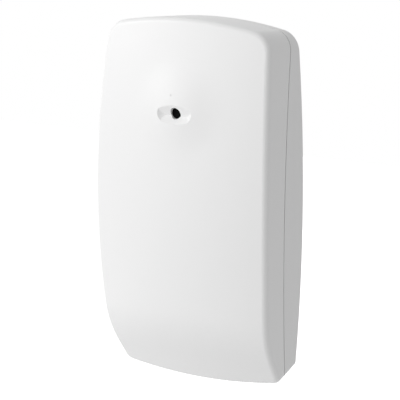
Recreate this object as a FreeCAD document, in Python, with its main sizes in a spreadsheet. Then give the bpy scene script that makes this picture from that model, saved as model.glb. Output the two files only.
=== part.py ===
import FreeCAD, Part
import Sketcher
import math
import os
import re

from FreeCAD import Placement, Rotation, Vector

# Wired acoustic glass break sensor: a crowned two-part housing with its circuit board inside.
#
# Millimetres. The wall is the plane y = 0, the front faces -Y and +Z is up. The origin lies on the wall
# plane, half way up the housing and on its centre line. A depth is a distance from the wall to the front.

SIZES = {
    # housing form
    "body_high": 110.9,
    "body_wide": 61.2,
    "body_deep": 24.1,
    "side_bow_radius": 600.0,
    "side_bow_above_middle": 3.5,
    "top_bow_radius": 122.0,
    "bottom_bow_radius": 200.0,
    "crown_radius_across": 135.0,
    "crown_radius_up": 250.0,
    "crown_above_middle": 1.2,
    "top_rise": 2.1,
    "top_corner_radius": 7.5,
    "top_corner_radius_at_wall": 6.5,
    "bottom_corner_radius": 4.2,
    "bottom_corner_radius_at_wall": 1.4,
    "least_corner_radius": 0.4,
    "chin_tip_depth": 8.4,
    "chin_angle": 36.0,
    "chin_radius_across": 210.0,
    "chin_blend": 4.0,
    "heel_rise": 4.4,
    "front_edge_radius": 1.8,
    # joint between the cover and the base
    "parting_depth": 10.3,
    "parting_bow_radius": 240.0,
    "parting_below_middle": 4.0,
    "parting_gap": 0.35,
    "housing_wall": 2.0,
    "floor_thick": 2.0,
    "lip_inset": 1.15,
    "lip_clearance": 0.15,
    "lip_high": 2.4,
    "lip_end_gap": 0.3,
    "snap_height_on_side": 30.0,
    "snap_wide": 6.0,
    "snap_thick": 0.7,
    "snap_proud": 0.55,
    "snap_clearance": 0.15,
    # microphone port and its shallow scoop
    "port_above_middle": 29.1,
    "port_diameter": 3.5,
    "scoop_wide": 13.2,
    "scoop_above_crease": 4.0,
    "scoop_below_crease": 2.2,
    "scoop_crease_below_port": 0.8,
    "scoop_run_out_wide": 26.0,
    "scoop_deep": 1.7,
    "scoop_bowl_high": 7.6,
    "scoop_bowl_deep": 2.1,
    "scoop_bowl_radius": 3.8,
    "swell_high": 1.15,
    "swell_reach": 15.5,
    "swell_above_port": 1.6,
    # circuit board
    "board_depth": 6.4,
    "board_thick": 1.6,
    "board_wide": 48.0,
    "board_high": 77.0,
    "board_above_middle": 2.5,
    "board_corner_radius": 2.0,
    "board_notch_wide": 17.0,
    "board_notch_high": 5.5,
    "board_hole_inset": 4.2,
    "board_screw_hole_radius": 1.35,
    "peg_radius": 1.0,
    "peg_clearance": 0.1,
    "peg_past_board": 0.8,
    "pillar_radius": 2.7,
    "board_screw_radius": 1.1,
    "board_screw_head_radius": 2.1,
    "board_screw_head_high": 1.5,
    "board_screw_long": 5.4,
    "screw_slot_wide": 0.6,
    "screw_slot_deep": 0.7,
    # wall fixing and cable entry
    "wall_screw_above_middle": 46.3,
    "wall_screw_below_middle": 43.6,
    "wall_screw_radius": 2.1,
    "wall_screw_head_radius": 3.8,
    "wall_screw_head_deep": 0.9,
    "cable_entry_wide": 16.0,
    "cable_entry_high": 8.0,
    "cable_entry_below_middle": 34.0,
    # microphone and indicator
    "capsule_radius": 3.0,
    "capsule_long": 5.2,
    "capsule_mouth_radius": 1.0,
    "capsule_mouth_deep": 0.4,
    "capsule_clearance": 0.02,
    "felt_thick": 0.5,
    "felt_plug_clearance": 0.05,
    "felt_plug_below_scoop": 0.4,
    "boot_wall": 1.5,
    "boot_lower_bore_radius": 2.2,
    "port_boss_radius": 5.6,
    "port_boss_high": 1.2,
    "microphone_pin_radius": 0.25,
    "microphone_pin_spacing": 2.54,
    "pin_clearance": 0.1,
    "pin_past_board": 1.2,
    "led_left_of_middle": 1.4,
    "led_above_port": 5.4,
    "led_wide": 2.0,
    "led_high": 1.25,
    "led_deep": 0.8,
    "pipe_radius": 0.8,
    "pipe_tip_radius": 0.3,
    "pipe_air_gap": 0.3,
    "pipe_clearance": 0.03,
    "pipe_boss_wall": 0.6,
    # terminal block
    "terminal_pitch": 3.81,
    "terminal_end_wall": 0.5,
    "terminal_high": 7.6,
    "terminal_deep": 8.6,
    "terminal_below_middle": 24.0,
    "terminal_bay_wide": 2.9,
    "terminal_bay_deep": 4.4,
    "terminal_bay_high": 5.2,
    "terminal_bay_floor": 1.6,
    "clamp_clearance": 0.1,
    "clamp_wall": 0.5,
    "clamp_front_wall": 1.0,
    "clamp_high": 3.2,
    "terminal_screw_radius": 0.95,
    "terminal_screw_head_radius": 1.35,
    "terminal_screw_head_high": 1.3,
    "terminal_screw_well_clearance": 0.1,
    "terminal_pin_radius": 0.5,
    # relay
    "relay_wide": 7.4,
    "relay_high": 15.0,
    "relay_deep": 10.0,
    "relay_x": -15.2,
    "relay_z": -11.0,
    "relay_pin_radius": 0.3,
    "relay_pin_spacing": 5.08,
    "relay_chamfer": 0.5,
    # tamper switch
    "tamper_x": 16.0,
    "tamper_z": -8.0,
    "switch_wide": 6.2,
    "switch_deep": 5.0,
    "switch_floor": 1.0,
    "switch_top_wall": 1.4,
    "plunger_radius": 1.5,
    "plunger_clearance": 0.05,
    "plunger_proud": 3.0,
    "plunger_flange_radius": 2.2,
    "plunger_flange_thick": 0.8,
    "plunger_slack": 0.4,
    "plunger_rounding": 0.3,
    "tamper_post_radius": 1.7,
    "tamper_post_gap": 0.05,
    "switch_pin_radius": 0.35,
    "switch_pin_spacing": 4.5,
    # integrated circuits
    "lead_pitch": 1.27,
    "lead_wide": 0.4,
    "lead_thick": 0.2,
    "lead_reach": 1.35,
    "lead_riser": 0.5,
    "chip_standoff": 0.1,
    "processor_wide": 7.5,
    "processor_high": 12.8,
    "processor_deep": 2.3,
    "processor_x": -10.0,
    "processor_z": 8.0,
    "amplifier_wide": 3.9,
    "amplifier_high": 4.9,
    "amplifier_deep": 1.5,
    "amplifier_x": -11.5,
    "amplifier_z": 26.0,
    # other board parts
    "can_radius": 3.15,
    "can_high": 6.2,
    "can_rounding": 0.5,
    "can_base_wide": 6.6,
    "can_base_deep": 0.9,
    "can_x": 5.0,
    "can_z": -13.0,
    "can_spacing": 8.0,
    "crystal_wide": 11.0,
    "crystal_high": 4.5,
    "crystal_deep": 3.4,
    "crystal_rounding": 2.1,
    "crystal_x": 7.5,
    "crystal_z": 12.0,
    "header_pitch": 2.54,
    "header_deep": 2.5,
    "header_x": 15.5,
    "header_z": 25.0,
    "header_pin_radius": 0.32,
    "header_pin_proud": 5.8,
    "cap_deep": 6.0,
    "cap_gap": 0.15,
    "cap_pin_clearance": 0.04,
    "regulator_wide": 4.5,
    "regulator_high": 2.5,
    "regulator_deep": 1.5,
    "regulator_x": -4.5,
    "regulator_z": -14.0,
    "diode_wide": 4.3,
    "diode_high": 2.6,
    "diode_deep": 2.1,
    "diode_x": 17.0,
    "diode_z": -17.5,
    "chip_part_wide": 2.0,
    "chip_part_high": 1.25,
    "resistor_deep": 0.5,
    "capacitor_deep": 0.9,
}


def load_sizes(doc):
    """Writes the driving sizes to the sheet, one row each."""
    sheet = doc.addObject("Spreadsheet::Sheet", "Sizes")
    for row, (alias, number) in enumerate(SIZES.items(), start=1):
        sheet.set(f"A{row}", alias)
        sheet.set(f"B{row}", str(number))
        sheet.setAlias(f"B{row}", alias)
    doc.recompute()
    return sheet


doc = FreeCAD.newDocument("GlassBreakSensor")
sheet = load_sizes(doc)
WORD = re.compile(r"[A-Za-z_][A-Za-z_0-9]*")
FORWARD = 90
TOUCH = 0.01
FACES_FORWARD = -0.6

# The grid of points that the smooth front is led through: its margin past the outline, and its steps.
GRID_MARGIN = 2
GRID_COLUMNS = 28
GRID_ROWS = 48


def size(name):
    """The number that the sheet holds for a size."""
    return float(sheet.get(name))


def formula(text):
    """Turns the size names in a formula into references to the sheet."""
    return WORD.sub(lambda m: f"Sizes.{m.group()}" if m.group() in SIZES else m.group(), str(text))


def bind(item, **formulas):
    """Ties properties of an object to formulas; a double underscore stands for a dot."""
    for name, text in formulas.items():
        item.setExpression(name.replace("__", "."), formula(text))


def place(item, x=0, depth=0, z=0, turn=0, spin=0):
    """Puts an object at x, depth and z, turned about the X axis, and first spun about its own axis."""
    turned = Rotation(Vector(1, 0, 0), turn).multiply(Rotation(Vector(0, 0, 1), spin))
    item.Placement = Placement(Vector(), turned)
    bind(item, Placement__Base__x=x, Placement__Base__y=f"-({depth})", Placement__Base__z=z)


def rod(name, radius, length, x, depth, z, turn=FORWARD, spin=0):
    """A round bar that starts at a depth and runs forward, unless it is turned another way."""
    item = doc.addObject("Part::Cylinder", name)
    bind(item, Radius=radius, Height=length)
    place(item, x, depth, z, turn, spin)
    return item


def bar(name, wide, deep, high, x, depth, z):
    """A square bar, centred on x and z, that starts at a depth and runs forward."""
    item = doc.addObject("Part::Box", name)
    bind(item, Length=wide, Width=deep, Height=high)
    place(item, f"({x}) - ({wide}) / 2", f"({depth}) + ({deep})", f"({z}) - ({high}) / 2")
    return item


def overlap(name, shapes):
    """What several shapes have in common."""
    item = doc.addObject("Part::MultiCommon", name)
    item.Shapes = shapes
    return item


def joined(name, shapes):
    """Several shapes as one."""
    item = doc.addObject("Part::MultiFuse", name)
    item.Shapes = shapes
    return item


def cut(name, base, tool):
    """A shape less another."""
    item = doc.addObject("Part::Cut", name)
    item.Base = base
    item.Tool = tool
    return item


def rounded(name, base, chosen, radius_at):
    """Rounds the edges of a shape that a test picks, with a radius that depends on where an edge ends."""
    doc.recompute()
    item = doc.addObject("Part::Fillet", name)
    item.Base = base
    item.Edges = [(i, radius_at(edge.Vertexes[0]), radius_at(edge.Vertexes[-1]))
                  for i, edge in enumerate(base.Shape.Edges, start=1) if chosen(edge)]
    doc.recompute()
    return item


def depth_span(edge):
    """How far an edge runs from back to front."""
    depths = [-vertex.Y for vertex in edge.Vertexes]
    return max(depths) - min(depths)


def front_circle(depth):
    """A test for a round edge at a depth."""
    return lambda e: e.Curve.TypeId == "Part::GeomCircle" and abs(e.CenterOfMass.y + depth) < TOUCH


def front_edges(depth):
    """A test for edges that lie at a depth."""
    return lambda e: max(v.Y for v in e.Vertexes) < TOUCH - depth


def corner_radius(which, full_depth, inset):
    """The rounding of the top or bottom corners at a depth, which changes from the wall to a full depth."""
    wall = size(f"{which}_corner_radius_at_wall")
    change = (size(f"{which}_corner_radius") - wall) / size(full_depth)
    return lambda vertex: max(wall - change * vertex.Y - inset, size("least_corner_radius"))


def flared_end(name, up, radius, inset, wall_reach, flare, run):
    """A large disc for the housing's top or bottom, which reaches further out toward the front."""
    slope = math.degrees(math.atan2(size(flare), size(run)))
    sloping = f"sqrt({flare} ^ 2 + {run} ^ 2)"
    axis_depth = f"{radius} * {flare} / {sloping} - 2 * body_high * {run} / {sloping}"
    axis_high = f"{up} * ({wall_reach} - {radius} * {run} / {sloping} - 2 * body_high * {flare} / {sloping})"
    return rod(name, f"{radius} - {inset}", "4 * body_high", 0, axis_depth, axis_high,
               turn=FORWARD - up * slope)


def outline_block(tag, inset, inset_now, start):
    """The housing's outline: where four large discs overlap, with its four long edges rounded."""
    deep = "2 * body_deep"
    side = f"side_bow_radius - {inset}"
    right = rod(f"{tag}_right", side, deep, "body_wide / 2 - side_bow_radius", start,
                "side_bow_above_middle", spin=180)
    left = rod(f"{tag}_left", side, deep, "side_bow_radius - body_wide / 2", start, "side_bow_above_middle")
    top = flared_end(f"{tag}_top", 1, "top_bow_radius", inset, "body_high / 2", "top_rise", "body_deep")
    bottom = flared_end(f"{tag}_bottom", -1, "bottom_bow_radius", inset, "(body_high / 2 - heel_rise)",
                        "heel_rise", "chin_tip_depth")
    block = overlap(f"{tag}_block", [right, left, top, bottom])
    long_enough = size("body_deep") / 2
    upper = rounded(f"{tag}_upper", block,
                    lambda e: depth_span(e) > long_enough and min(v.Z for v in e.Vertexes) > 0,
                    corner_radius("top", "body_deep", inset_now))
    return rounded(f"{tag}_outline", upper,
                   lambda e: depth_span(e) > long_enough and max(v.Z for v in e.Vertexes) < 0,
                   corner_radius("bottom", "chin_tip_depth", inset_now))


def front_depth(x, z, swell_high):
    """The depth of the front at x and z: crowned both ways, swollen about the port, and with a chin."""
    crown = (size("body_deep") - x ** 2 / (2 * size("crown_radius_across"))
             - (z - size("crown_above_middle")) ** 2 / (2 * size("crown_radius_up")))
    away = math.hypot(x, z - size("port_above_middle") - size("swell_above_port")) / size("swell_reach")
    crown += swell_high * max(0, 1 - away ** 2) ** 2
    chin = (size("chin_tip_depth") + (z + size("body_high") / 2) * math.tan(math.radians(size("chin_angle")))
            - x ** 2 / (2 * size("chin_radius_across")))
    blend = size("chin_blend")
    return min(crown, chin) - max(0, blend - abs(crown - chin)) ** 2 / (4 * blend)


def front_stretch(x, z, swell_high):
    """How many times deeper than its wall a sloping spot of the front is, measured straight back."""
    across = front_depth(x + TOUCH, z, swell_high) - front_depth(x - TOUCH, z, swell_high)
    up = front_depth(x, z + TOUCH, swell_high) - front_depth(x, z - TOUCH, swell_high)
    return math.sqrt(1 + (across ** 2 + up ** 2) / (2 * TOUCH) ** 2)


def front_block(tag, inset):
    """Everything behind the front, as one smooth face run backward; inside the wall it has no swell."""
    swell_high = 0 if inset else size("swell_high")
    wide, high = size("body_wide") / 2 + GRID_MARGIN, size("body_high") / 2 + GRID_MARGIN
    xs = [wide * (2 * i / GRID_COLUMNS - 1) for i in range(GRID_COLUMNS + 1)]
    zs = [high * (2 * i / GRID_ROWS - 1) for i in range(GRID_ROWS + 1)]
    grid = []
    for x in xs:
        column = []
        for z in zs:
            depth = front_depth(x, z, swell_high) - inset * front_stretch(x, z, swell_high)
            column.append(Vector(x, -depth, z))
        grid.append(column)
    surface = Part.BSplineSurface()
    surface.interpolate(grid)
    item = doc.addObject("Part::Feature", f"{tag}_front")
    item.Shape = surface.toShape().extrude(Vector(0, 3 * size("body_deep"), 0))
    return item


def housing_form(tag, inset, inset_now, start):
    """The housing's form from a depth to the crowned front and the chin, set in by a formula.

    The roundings and the front take the inset as a number, because neither has a property for a formula.
    """
    return overlap(f"{tag}_form", [outline_block(tag, inset, inset_now, start), front_block(tag, inset_now)])


def cross_rod(name, radius, depth, z):
    """A long round bar that lies across the housing, along X."""
    item = doc.addObject("Part::Cylinder", name)
    bind(item, Radius=radius, Height="2 * body_wide")
    item.Placement = Placement(Vector(), Rotation(Vector(0, 1, 0), 90))
    bind(item, Placement__Base__x="-body_wide", Placement__Base__y=f"-({depth})", Placement__Base__z=z)
    return item


def parting_rod(name, extra):
    """Everything behind the bowed parting line, moved forward by an amount."""
    return cross_rod(name, f"parting_bow_radius + {extra}", "parting_depth - parting_bow_radius",
                     "-parting_below_middle")


def new_body(name, start=None):
    """A body, which may begin as another shape."""
    body = doc.addObject("PartDesign::Body", f"{name}_body")
    body.AllowCompound = True
    if start:
        body.BaseFeature = start
        doc.recompute()
    return body


def new_sketch(body, name, x, depth, z):
    """A sketch that faces forward, with its origin at x, z and a depth."""
    sketch = body.newObject("Sketcher::SketchObject", name)
    plane = [item for item in body.Origin.OriginFeatures if item.Role == "XZ_Plane"][0]
    sketch.AttachmentSupport = [(plane, "")]
    sketch.MapMode = "FlatFace"
    bind(sketch, AttachmentOffset__Base__x=x, AttachmentOffset__Base__y=z, AttachmentOffset__Base__z=depth)
    return sketch


def circle(body, name, radius, x, depth, z):
    """A sketch of one circle."""
    sketch = new_sketch(body, name, x, depth, z)
    sketch.addGeometry(Part.Circle(Vector(), Vector(0, 0, 1), 1), False)
    sketch.addConstraint(Sketcher.Constraint("Coincident", 0, 3, -1, 1))
    spot = sketch.addConstraint(Sketcher.Constraint("Radius", 0, 1))
    sketch.setExpression(f"Constraints[{spot}]", formula(radius))
    return sketch


def rectangle(body, name, wide, high, x, depth, z):
    """A sketch of one rectangle, centred on its origin."""
    sketch = new_sketch(body, name, x, depth, z)
    corners = [Vector(-1, -1, 0), Vector(1, -1, 0), Vector(1, 1, 0), Vector(-1, 1, 0)]
    for i in range(4):
        sketch.addGeometry(Part.LineSegment(corners[i], corners[(i + 1) % 4]), False)
    for i in range(4):
        sketch.addConstraint(Sketcher.Constraint("Coincident", i, 2, (i + 1) % 4, 1))
        sketch.addConstraint(Sketcher.Constraint("Horizontal" if i % 2 == 0 else "Vertical", i))
    sketch.addConstraint(Sketcher.Constraint("Symmetric", 0, 1, 1, 2, -1, 1))
    first_wide, first_high = corners[2].x - corners[0].x, corners[2].y - corners[0].y
    across = sketch.addConstraint(Sketcher.Constraint("DistanceX", 0, 1, 0, 2, first_wide))
    along = sketch.addConstraint(Sketcher.Constraint("DistanceY", 1, 1, 1, 2, first_high))
    sketch.setExpression(f"Constraints[{across}]", formula(wide))
    sketch.setExpression(f"Constraints[{along}]", formula(high))
    return sketch


def pad(body, sketch, length):
    """Raises a sketch forward."""
    item = body.newObject("PartDesign::Pad", f"{sketch.Name}_pad")
    item.Profile = sketch
    bind(item, Length=length)
    doc.recompute()
    return item


def pocket(body, sketch, length):
    """Sinks a sketch backward."""
    item = body.newObject("PartDesign::Pocket", f"{sketch.Name}_pocket")
    item.Profile = sketch
    bind(item, Length=length)
    doc.recompute()
    return item


def dress(body, kind, name, chosen, **formulas):
    """Rounds or chamfers the edges of a body's last feature that a test picks."""
    last = body.Tip
    edges = [f"Edge{i}" for i, edge in enumerate(last.Shape.Edges, start=1) if chosen(edge)]
    item = body.newObject(f"PartDesign::{kind}", name)
    item.Base = (last, edges)
    bind(item, **formulas)
    doc.recompute()
    return item


parts = []


def keep(name, item):
    """Takes an object as a finished sub-part and gives it its label."""
    item.Label = name
    parts.append(item)
    return item


BOARD_FRONT = "(board_depth + board_thick)"


def crown_depth(inset, x, z):
    """The depth of the crowned front, set in by an amount, at x and z."""
    return (f"(body_deep - {inset} - ({x}) ^ 2 / (2 * crown_radius_across)"
            f" - ({z} - crown_above_middle) ^ 2 / (2 * crown_radius_up))")


def swell_depth(x, z):
    """The depth of the swollen front about the port, at x and z."""
    away = f"(({x}) ^ 2 + ({z} - port_above_middle - swell_above_port) ^ 2) / swell_reach ^ 2"
    return f"({crown_depth('0', x, z)} + swell_high * (1 - {away}) ^ 2)"


def side_x(z):
    """Half the housing's width at a height."""
    return (f"(body_wide / 2 - side_bow_radius + sqrt(side_bow_radius ^ 2"
            f" - ({z} - side_bow_above_middle) ^ 2))")


def parting_at(z):
    """The depth of the parting line at a height."""
    return (f"(parting_depth - parting_bow_radius + sqrt(parting_bow_radius ^ 2"
            f" - ({z} + parting_below_middle) ^ 2))")


def hull_shell():
    """The rounded outer form, before it is split and hollowed."""
    form = housing_form("outer", "0", 0, "0")
    return rounded("front_edge", form, front_rim_test(form), lambda v: size("front_edge_radius"))


def front_rim_test(item):
    """A test for the edges between the forward faces of a shape and its sides."""
    doc.recompute()
    owners = {}
    for face in item.Shape.Faces:
        first_u, last_u, first_v, last_v = face.ParameterRange
        forward = face.normalAt((first_u + last_u) / 2, (first_v + last_v) / 2).y < FACES_FORWARD
        for edge in face.Edges:
            owners.setdefault(edge.hashCode(), []).append(forward)
    return lambda e: owners[e.hashCode()].count(True) == 1 and max(v.Y for v in e.Vertexes) < -TOUCH


CREASE_Z = "(port_above_middle - scoop_crease_below_port)"
SCOOP_FLOOR = f"({swell_depth('0', CREASE_Z)} - scoop_deep)"


def scoop_tool():
    """Two cones, base to base, that cut the scoop's two slopes, within a bowl that blunts its ends."""
    reach = "((scoop_run_out_wide / 2) ^ 2 / scoop_deep + scoop_deep) / 2"
    cones = []
    for side, turn in (("above", 0), ("below", 180)):
        cone = doc.addObject("Part::Cone", f"scoop_{side}")
        bind(cone, Radius1=reach, Radius2="0", Height=f"({reach}) * scoop_{side}_crease / scoop_deep")
        place(cone, 0, f"{SCOOP_FLOOR} + {reach}", CREASE_Z, turn=turn)
        cones.append(cone)
    bowl = doc.addObject("Part::Ellipsoid", "scoop_bowl")
    ahead = "(scoop_bowl_radius - scoop_bowl_deep)"
    share = f"sqrt(1 - ({ahead} / scoop_bowl_radius) ^ 2)"
    bind(bowl, Radius1=f"scoop_bowl_high / 2 / {share}", Radius2=f"scoop_wide / 2 / {share}",
         Radius3="scoop_bowl_radius")
    place(bowl, 0, f"{SCOOP_FLOOR} + scoop_deep + {ahead}",
          f"{CREASE_Z} + (scoop_above_crease - scoop_below_crease) / 2")
    return overlap("scoop_tool", [joined("scoop_slopes", cones), bowl])


def snap_bars(tag, thick, wide, outer, inner):
    """Four small bars on the side walls, between two distances from the housing's side."""
    bars = []
    for side in (-1, 1):
        for up in (-1, 1):
            z = f"{up} * snap_height_on_side"
            x = f"{side} * ({side_x(z)} - (({outer}) + ({inner})) / 2)"
            depth = f"{parting_at(z)} + lip_high / 2 - ({thick}) / 2"
            bars.append(bar(f"{tag}_{len(bars)}", f"({inner}) - ({outer})", thick, wide, x, depth, z))
    return joined(f"{tag}_bars", bars)


REBATE = "(lip_inset - lip_clearance)"
PORT_BOSS_BACK = f"({crown_depth('housing_wall', 0, 'port_above_middle')} - port_boss_high)"
LED_Z = "(port_above_middle + led_above_port)"
LED_X = "(0 - led_left_of_middle)"
PIPE_SEAT = crown_depth("housing_wall", LED_X, LED_Z)


def front_cover(shell, cavity):
    """The cover: the crowned front with its port, scoop and indicator hole, and the posts inside."""
    hollow = cut("cover_hollow", shell, cavity)
    behind = parting_rod("cover_parting", "parting_gap")
    rebate_form = housing_form("rebate", REBATE, size("lip_inset") - size("lip_clearance"), "0")
    rebate = overlap("rebate", [rebate_form, parting_rod("rebate_parting", "(lip_high + lip_end_gap)")])
    open_back = cut("cover_open", hollow, joined("cover_back_tools", [behind, rebate]))
    scooped = cut("cover_scooped", open_back, scoop_tool())
    body = new_body("front_cover", scooped)
    into_wall = "housing_wall / 4"
    pad(body, circle(body, "port_boss", "port_boss_radius", 0, PORT_BOSS_BACK, "port_above_middle"),
        f"port_boss_high + {into_wall}")
    pad(body, circle(body, "pipe_boss", "pipe_radius + pipe_boss_wall", LED_X, PORT_BOSS_BACK, LED_Z),
        f"{PIPE_SEAT} - {PORT_BOSS_BACK} + {into_wall}")
    post_back = f"({BOARD_FRONT} + switch_deep + plunger_proud + tamper_post_gap)"
    pad(body, circle(body, "tamper_post", "tamper_post_radius", "tamper_x", post_back, "tamper_z"),
        f"{crown_depth('housing_wall', 'tamper_x', 'tamper_z')} - {post_back} + {into_wall}")
    pocket(body, circle(body, "port", "port_diameter / 2", 0, "body_deep", "port_above_middle"),
           f"body_deep - {PORT_BOSS_BACK} + housing_wall")
    pocket(body, circle(body, "pipe_tip_hole", "pipe_tip_radius + pipe_clearance", LED_X, "body_deep", LED_Z),
           "2 * housing_wall + port_boss_high")
    pocket(body, circle(body, "pipe_hole", "pipe_radius + pipe_clearance", LED_X, PIPE_SEAT, LED_Z),
           "2 * port_boss_high")
    return keep("front_cover", joined_with("front_cover_snaps", body, snap_bars(
        "snap", "snap_thick", "snap_wide", f"{REBATE} - lip_clearance", f"{REBATE} + snap_proud")))


def joined_with(name, first, second):
    """Two shapes as one, once the first has been worked out."""
    doc.recompute()
    return joined(name, [first, second])


def through(name, x, z, radius, depth="0"):
    """A long rod to cut a round hole from a depth forward."""
    return rod(name, radius, "2 * body_deep", x, depth, z)


def pillar_spots():
    """The four corners of the board where it is carried: screws at the top, pegs at the bottom."""
    x = "(board_wide / 2 - board_hole_inset)"
    up = "(board_above_middle + board_high / 2 - board_hole_inset)"
    down = "(board_above_middle - board_high / 2 + board_hole_inset)"
    return {"screw_left": (f"-{x}", up), "screw_right": (x, up), "peg_left": (f"-{x}", down),
            "peg_right": (x, down)}


def rear_base(cavity):
    """The tray on the wall: its lip, board pillars, wall screw holes and cable entry."""
    form = overlap("base_form", [housing_form("base", "0", 0, "0"), parting_rod("base_parting", "0")])
    lip_form = housing_form("lip", "lip_inset", size("lip_inset"), "floor_thick")
    lip = overlap("lip", [lip_form, parting_rod("lip_parting", "lip_high")])
    tray = cut("tray", joined("tray_block", [form, lip]), cavity)
    windows = snap_bars("window", "snap_thick + 2 * snap_clearance", "snap_wide + 2 * snap_clearance",
                        REBATE, "housing_wall + lip_clearance")
    body = new_body("rear_base", cut("tray_with_windows", tray, windows))
    start = "floor_thick / 2"
    for name, (x, z) in pillar_spots().items():
        pad(body, circle(body, f"pillar_{name}", "pillar_radius", x, start, z), f"board_depth - {start}")
        if name.startswith("peg"):
            pad(body, circle(body, f"tip_{name}", "peg_radius", x, "board_depth", z),
                "board_thick + peg_past_board")
        else:
            pocket(body, circle(body, f"bore_{name}", "board_screw_radius", x, "board_depth", z),
                   "board_screw_long - board_thick")
    for name, z in (("upper", "wall_screw_above_middle"), ("lower", "-wall_screw_below_middle")):
        pocket(body, circle(body, f"{name}_wall_screw", "wall_screw_radius", 0, "floor_thick", z),
               "2 * floor_thick")
        pocket(body, circle(body, f"{name}_wall_screw_seat", "wall_screw_head_radius", 0, "floor_thick", z),
               "wall_screw_head_deep")
    pocket(body, rectangle(body, "cable_entry", "cable_entry_wide", "cable_entry_high", 0, "floor_thick",
                           "-cable_entry_below_middle"), "2 * floor_thick")
    return keep("rear_base", body)


board_holes = []


def pin_group(name, radius, start, end, spots):
    """Straight round pins at several spots, and the holes that they need in the board."""
    pins = [rod(f"{name}_{i}", radius, f"({end}) - ({start})", x, start, z)
            for i, (x, z) in enumerate(spots)]
    for i, (x, z) in enumerate(spots):
        board_holes.append(through(f"{name}_hole_{i}", x, z, f"{radius} + pin_clearance"))
    return keep(name, joined(f"{name}_group", pins))


PIN_BACK = "(board_depth - pin_past_board)"


def circuit_board():
    """The board, with its notch over the cable entry and every hole that a pin, peg or screw needs."""
    body = new_body("circuit_board")
    pad(body, rectangle(body, "board_plan", "board_wide", "board_high", 0, "board_depth",
                        "board_above_middle"), "board_thick")
    dress(body, "Fillet", "board_corners", lambda e: depth_span(e) > size("board_thick") / 2,
          Radius="board_corner_radius")
    bottom = "board_above_middle - board_high / 2"
    pocket(body, rectangle(body, "cable_notch", "board_notch_wide", "2 * board_notch_high", 0,
                           "board_depth + board_thick", bottom), "2 * board_thick")
    for name, (x, z) in pillar_spots().items():
        radius = "peg_radius + peg_clearance" if name.startswith("peg") else "board_screw_hole_radius"
        pocket(body, circle(body, f"board_{name}", radius, x, BOARD_FRONT, z), "2 * board_thick")
    return keep("circuit_board", cut("circuit_board_drilled", body, joined("board_hole_tools",
                                                                           board_holes)))


def board_screws():
    """Two pan head screws with a straight slot, through the board into the upper pillars."""
    screws = []
    for name in ("screw_left", "screw_right"):
        x, z = pillar_spots()[name]
        shank = rod(f"{name}_shank", "board_screw_radius", "board_screw_long", x,
                    f"{BOARD_FRONT} - board_screw_long", z)
        head = rod(f"{name}_head", "board_screw_head_radius", "board_screw_head_high", x, BOARD_FRONT, z)
        doc.recompute()
        front = size("board_depth") + size("board_thick") + size("board_screw_head_high")
        round_head = rounded(f"{name}_rounded", head, front_circle(front),
                             lambda v: size("board_screw_head_high") / 2)
        slot = bar(f"{name}_slot", "3 * board_screw_head_radius", "2 * screw_slot_deep", "screw_slot_wide",
                   x,
                   f"{BOARD_FRONT} + board_screw_head_high - screw_slot_deep", z)
        screws.append(cut(f"{name}_slotted", joined(f"{name}_whole", [shank, round_head]), slot))
    return keep("board_screws", joined("board_screw_pair", screws))


CAPSULE_FRONT = f"({PORT_BOSS_BACK} - felt_thick)"
CAPSULE_BACK = f"({CAPSULE_FRONT} - capsule_long)"


def microphone():
    """The electret capsule on its two pins, in a rubber boot that seals it to the back of the port."""
    z = "port_above_middle"
    can = rod("capsule_can", "capsule_radius", "capsule_long", 0, CAPSULE_BACK, z)
    mouth = rod("capsule_mouth", "capsule_mouth_radius", "capsule_long", 0,
                f"{CAPSULE_FRONT} - capsule_mouth_deep", z)
    keep("microphone_capsule", cut("capsule", can, mouth))
    disc = rod("felt_disc", "capsule_radius", "felt_thick", 0, CAPSULE_FRONT, z)
    plug_front = f"{SCOOP_FLOOR} - felt_plug_below_scoop"
    plug = rod("felt_plug", "port_diameter / 2 - felt_plug_clearance", f"{plug_front} - {CAPSULE_FRONT}", 0,
               CAPSULE_FRONT, z)
    keep("microphone_felt", joined("felt", [disc, plug]))
    body = new_body("microphone_boot")
    pad(body, circle(body, "boot_wall_ring", "capsule_radius + boot_wall", 0, BOARD_FRONT, z),
        f"{PORT_BOSS_BACK} - {BOARD_FRONT}")
    pocket(body, circle(body, "boot_bore", "capsule_radius + capsule_clearance", 0, PORT_BOSS_BACK, z),
           f"{PORT_BOSS_BACK} - {CAPSULE_BACK}")
    pocket(body, circle(body, "boot_lower_bore", "boot_lower_bore_radius", 0, CAPSULE_BACK, z), "body_deep")
    keep("microphone_boot", body)
    spots = [(f"{side} * microphone_pin_spacing / 2", z) for side in (-1, 1)]
    pin_group("microphone_pins", "microphone_pin_radius", PIN_BACK, CAPSULE_BACK, spots)


def indicator():
    """The status lamp chip and the clear pipe that carries its light to the front."""
    body = new_body("status_led")
    pad(body, rectangle(body, "led_plan", "led_wide", "led_high", LED_X, BOARD_FRONT, LED_Z), "led_deep")
    front = size("board_depth") + size("board_thick") + size("led_deep")
    dress(body, "Chamfer", "led_edges", front_edges(front), Size="led_deep / 4")
    keep("status_led", body)
    start = f"({BOARD_FRONT} + led_deep + pipe_air_gap)"
    shoulder = f"({PIPE_SEAT} - pipe_clearance)"
    stem = rod("pipe_stem", "pipe_radius", f"{shoulder} - {start}", LED_X, start, LED_Z)
    tip = rod("pipe_tip", "pipe_tip_radius", f"{swell_depth(LED_X, LED_Z)} - {start}", LED_X, start, LED_Z)
    keep("light_pipe", joined("pipe", [stem, tip]))


TERMINAL_WAYS = 6
HEADER_COLUMNS = 3
PROCESSOR_LEAD_COUNT = 20
AMPLIFIER_LEAD_COUNT = 8
TERMINAL_BOTTOM = "(0 - terminal_below_middle - terminal_high / 2)"
BAY_BACK = f"({BOARD_FRONT} + terminal_bay_floor)"


def terminal_xs():
    """The middle of each way of the terminal block."""
    return [f"({i} - {TERMINAL_WAYS - 1} / 2) * terminal_pitch" for i in range(TERMINAL_WAYS)]


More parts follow.
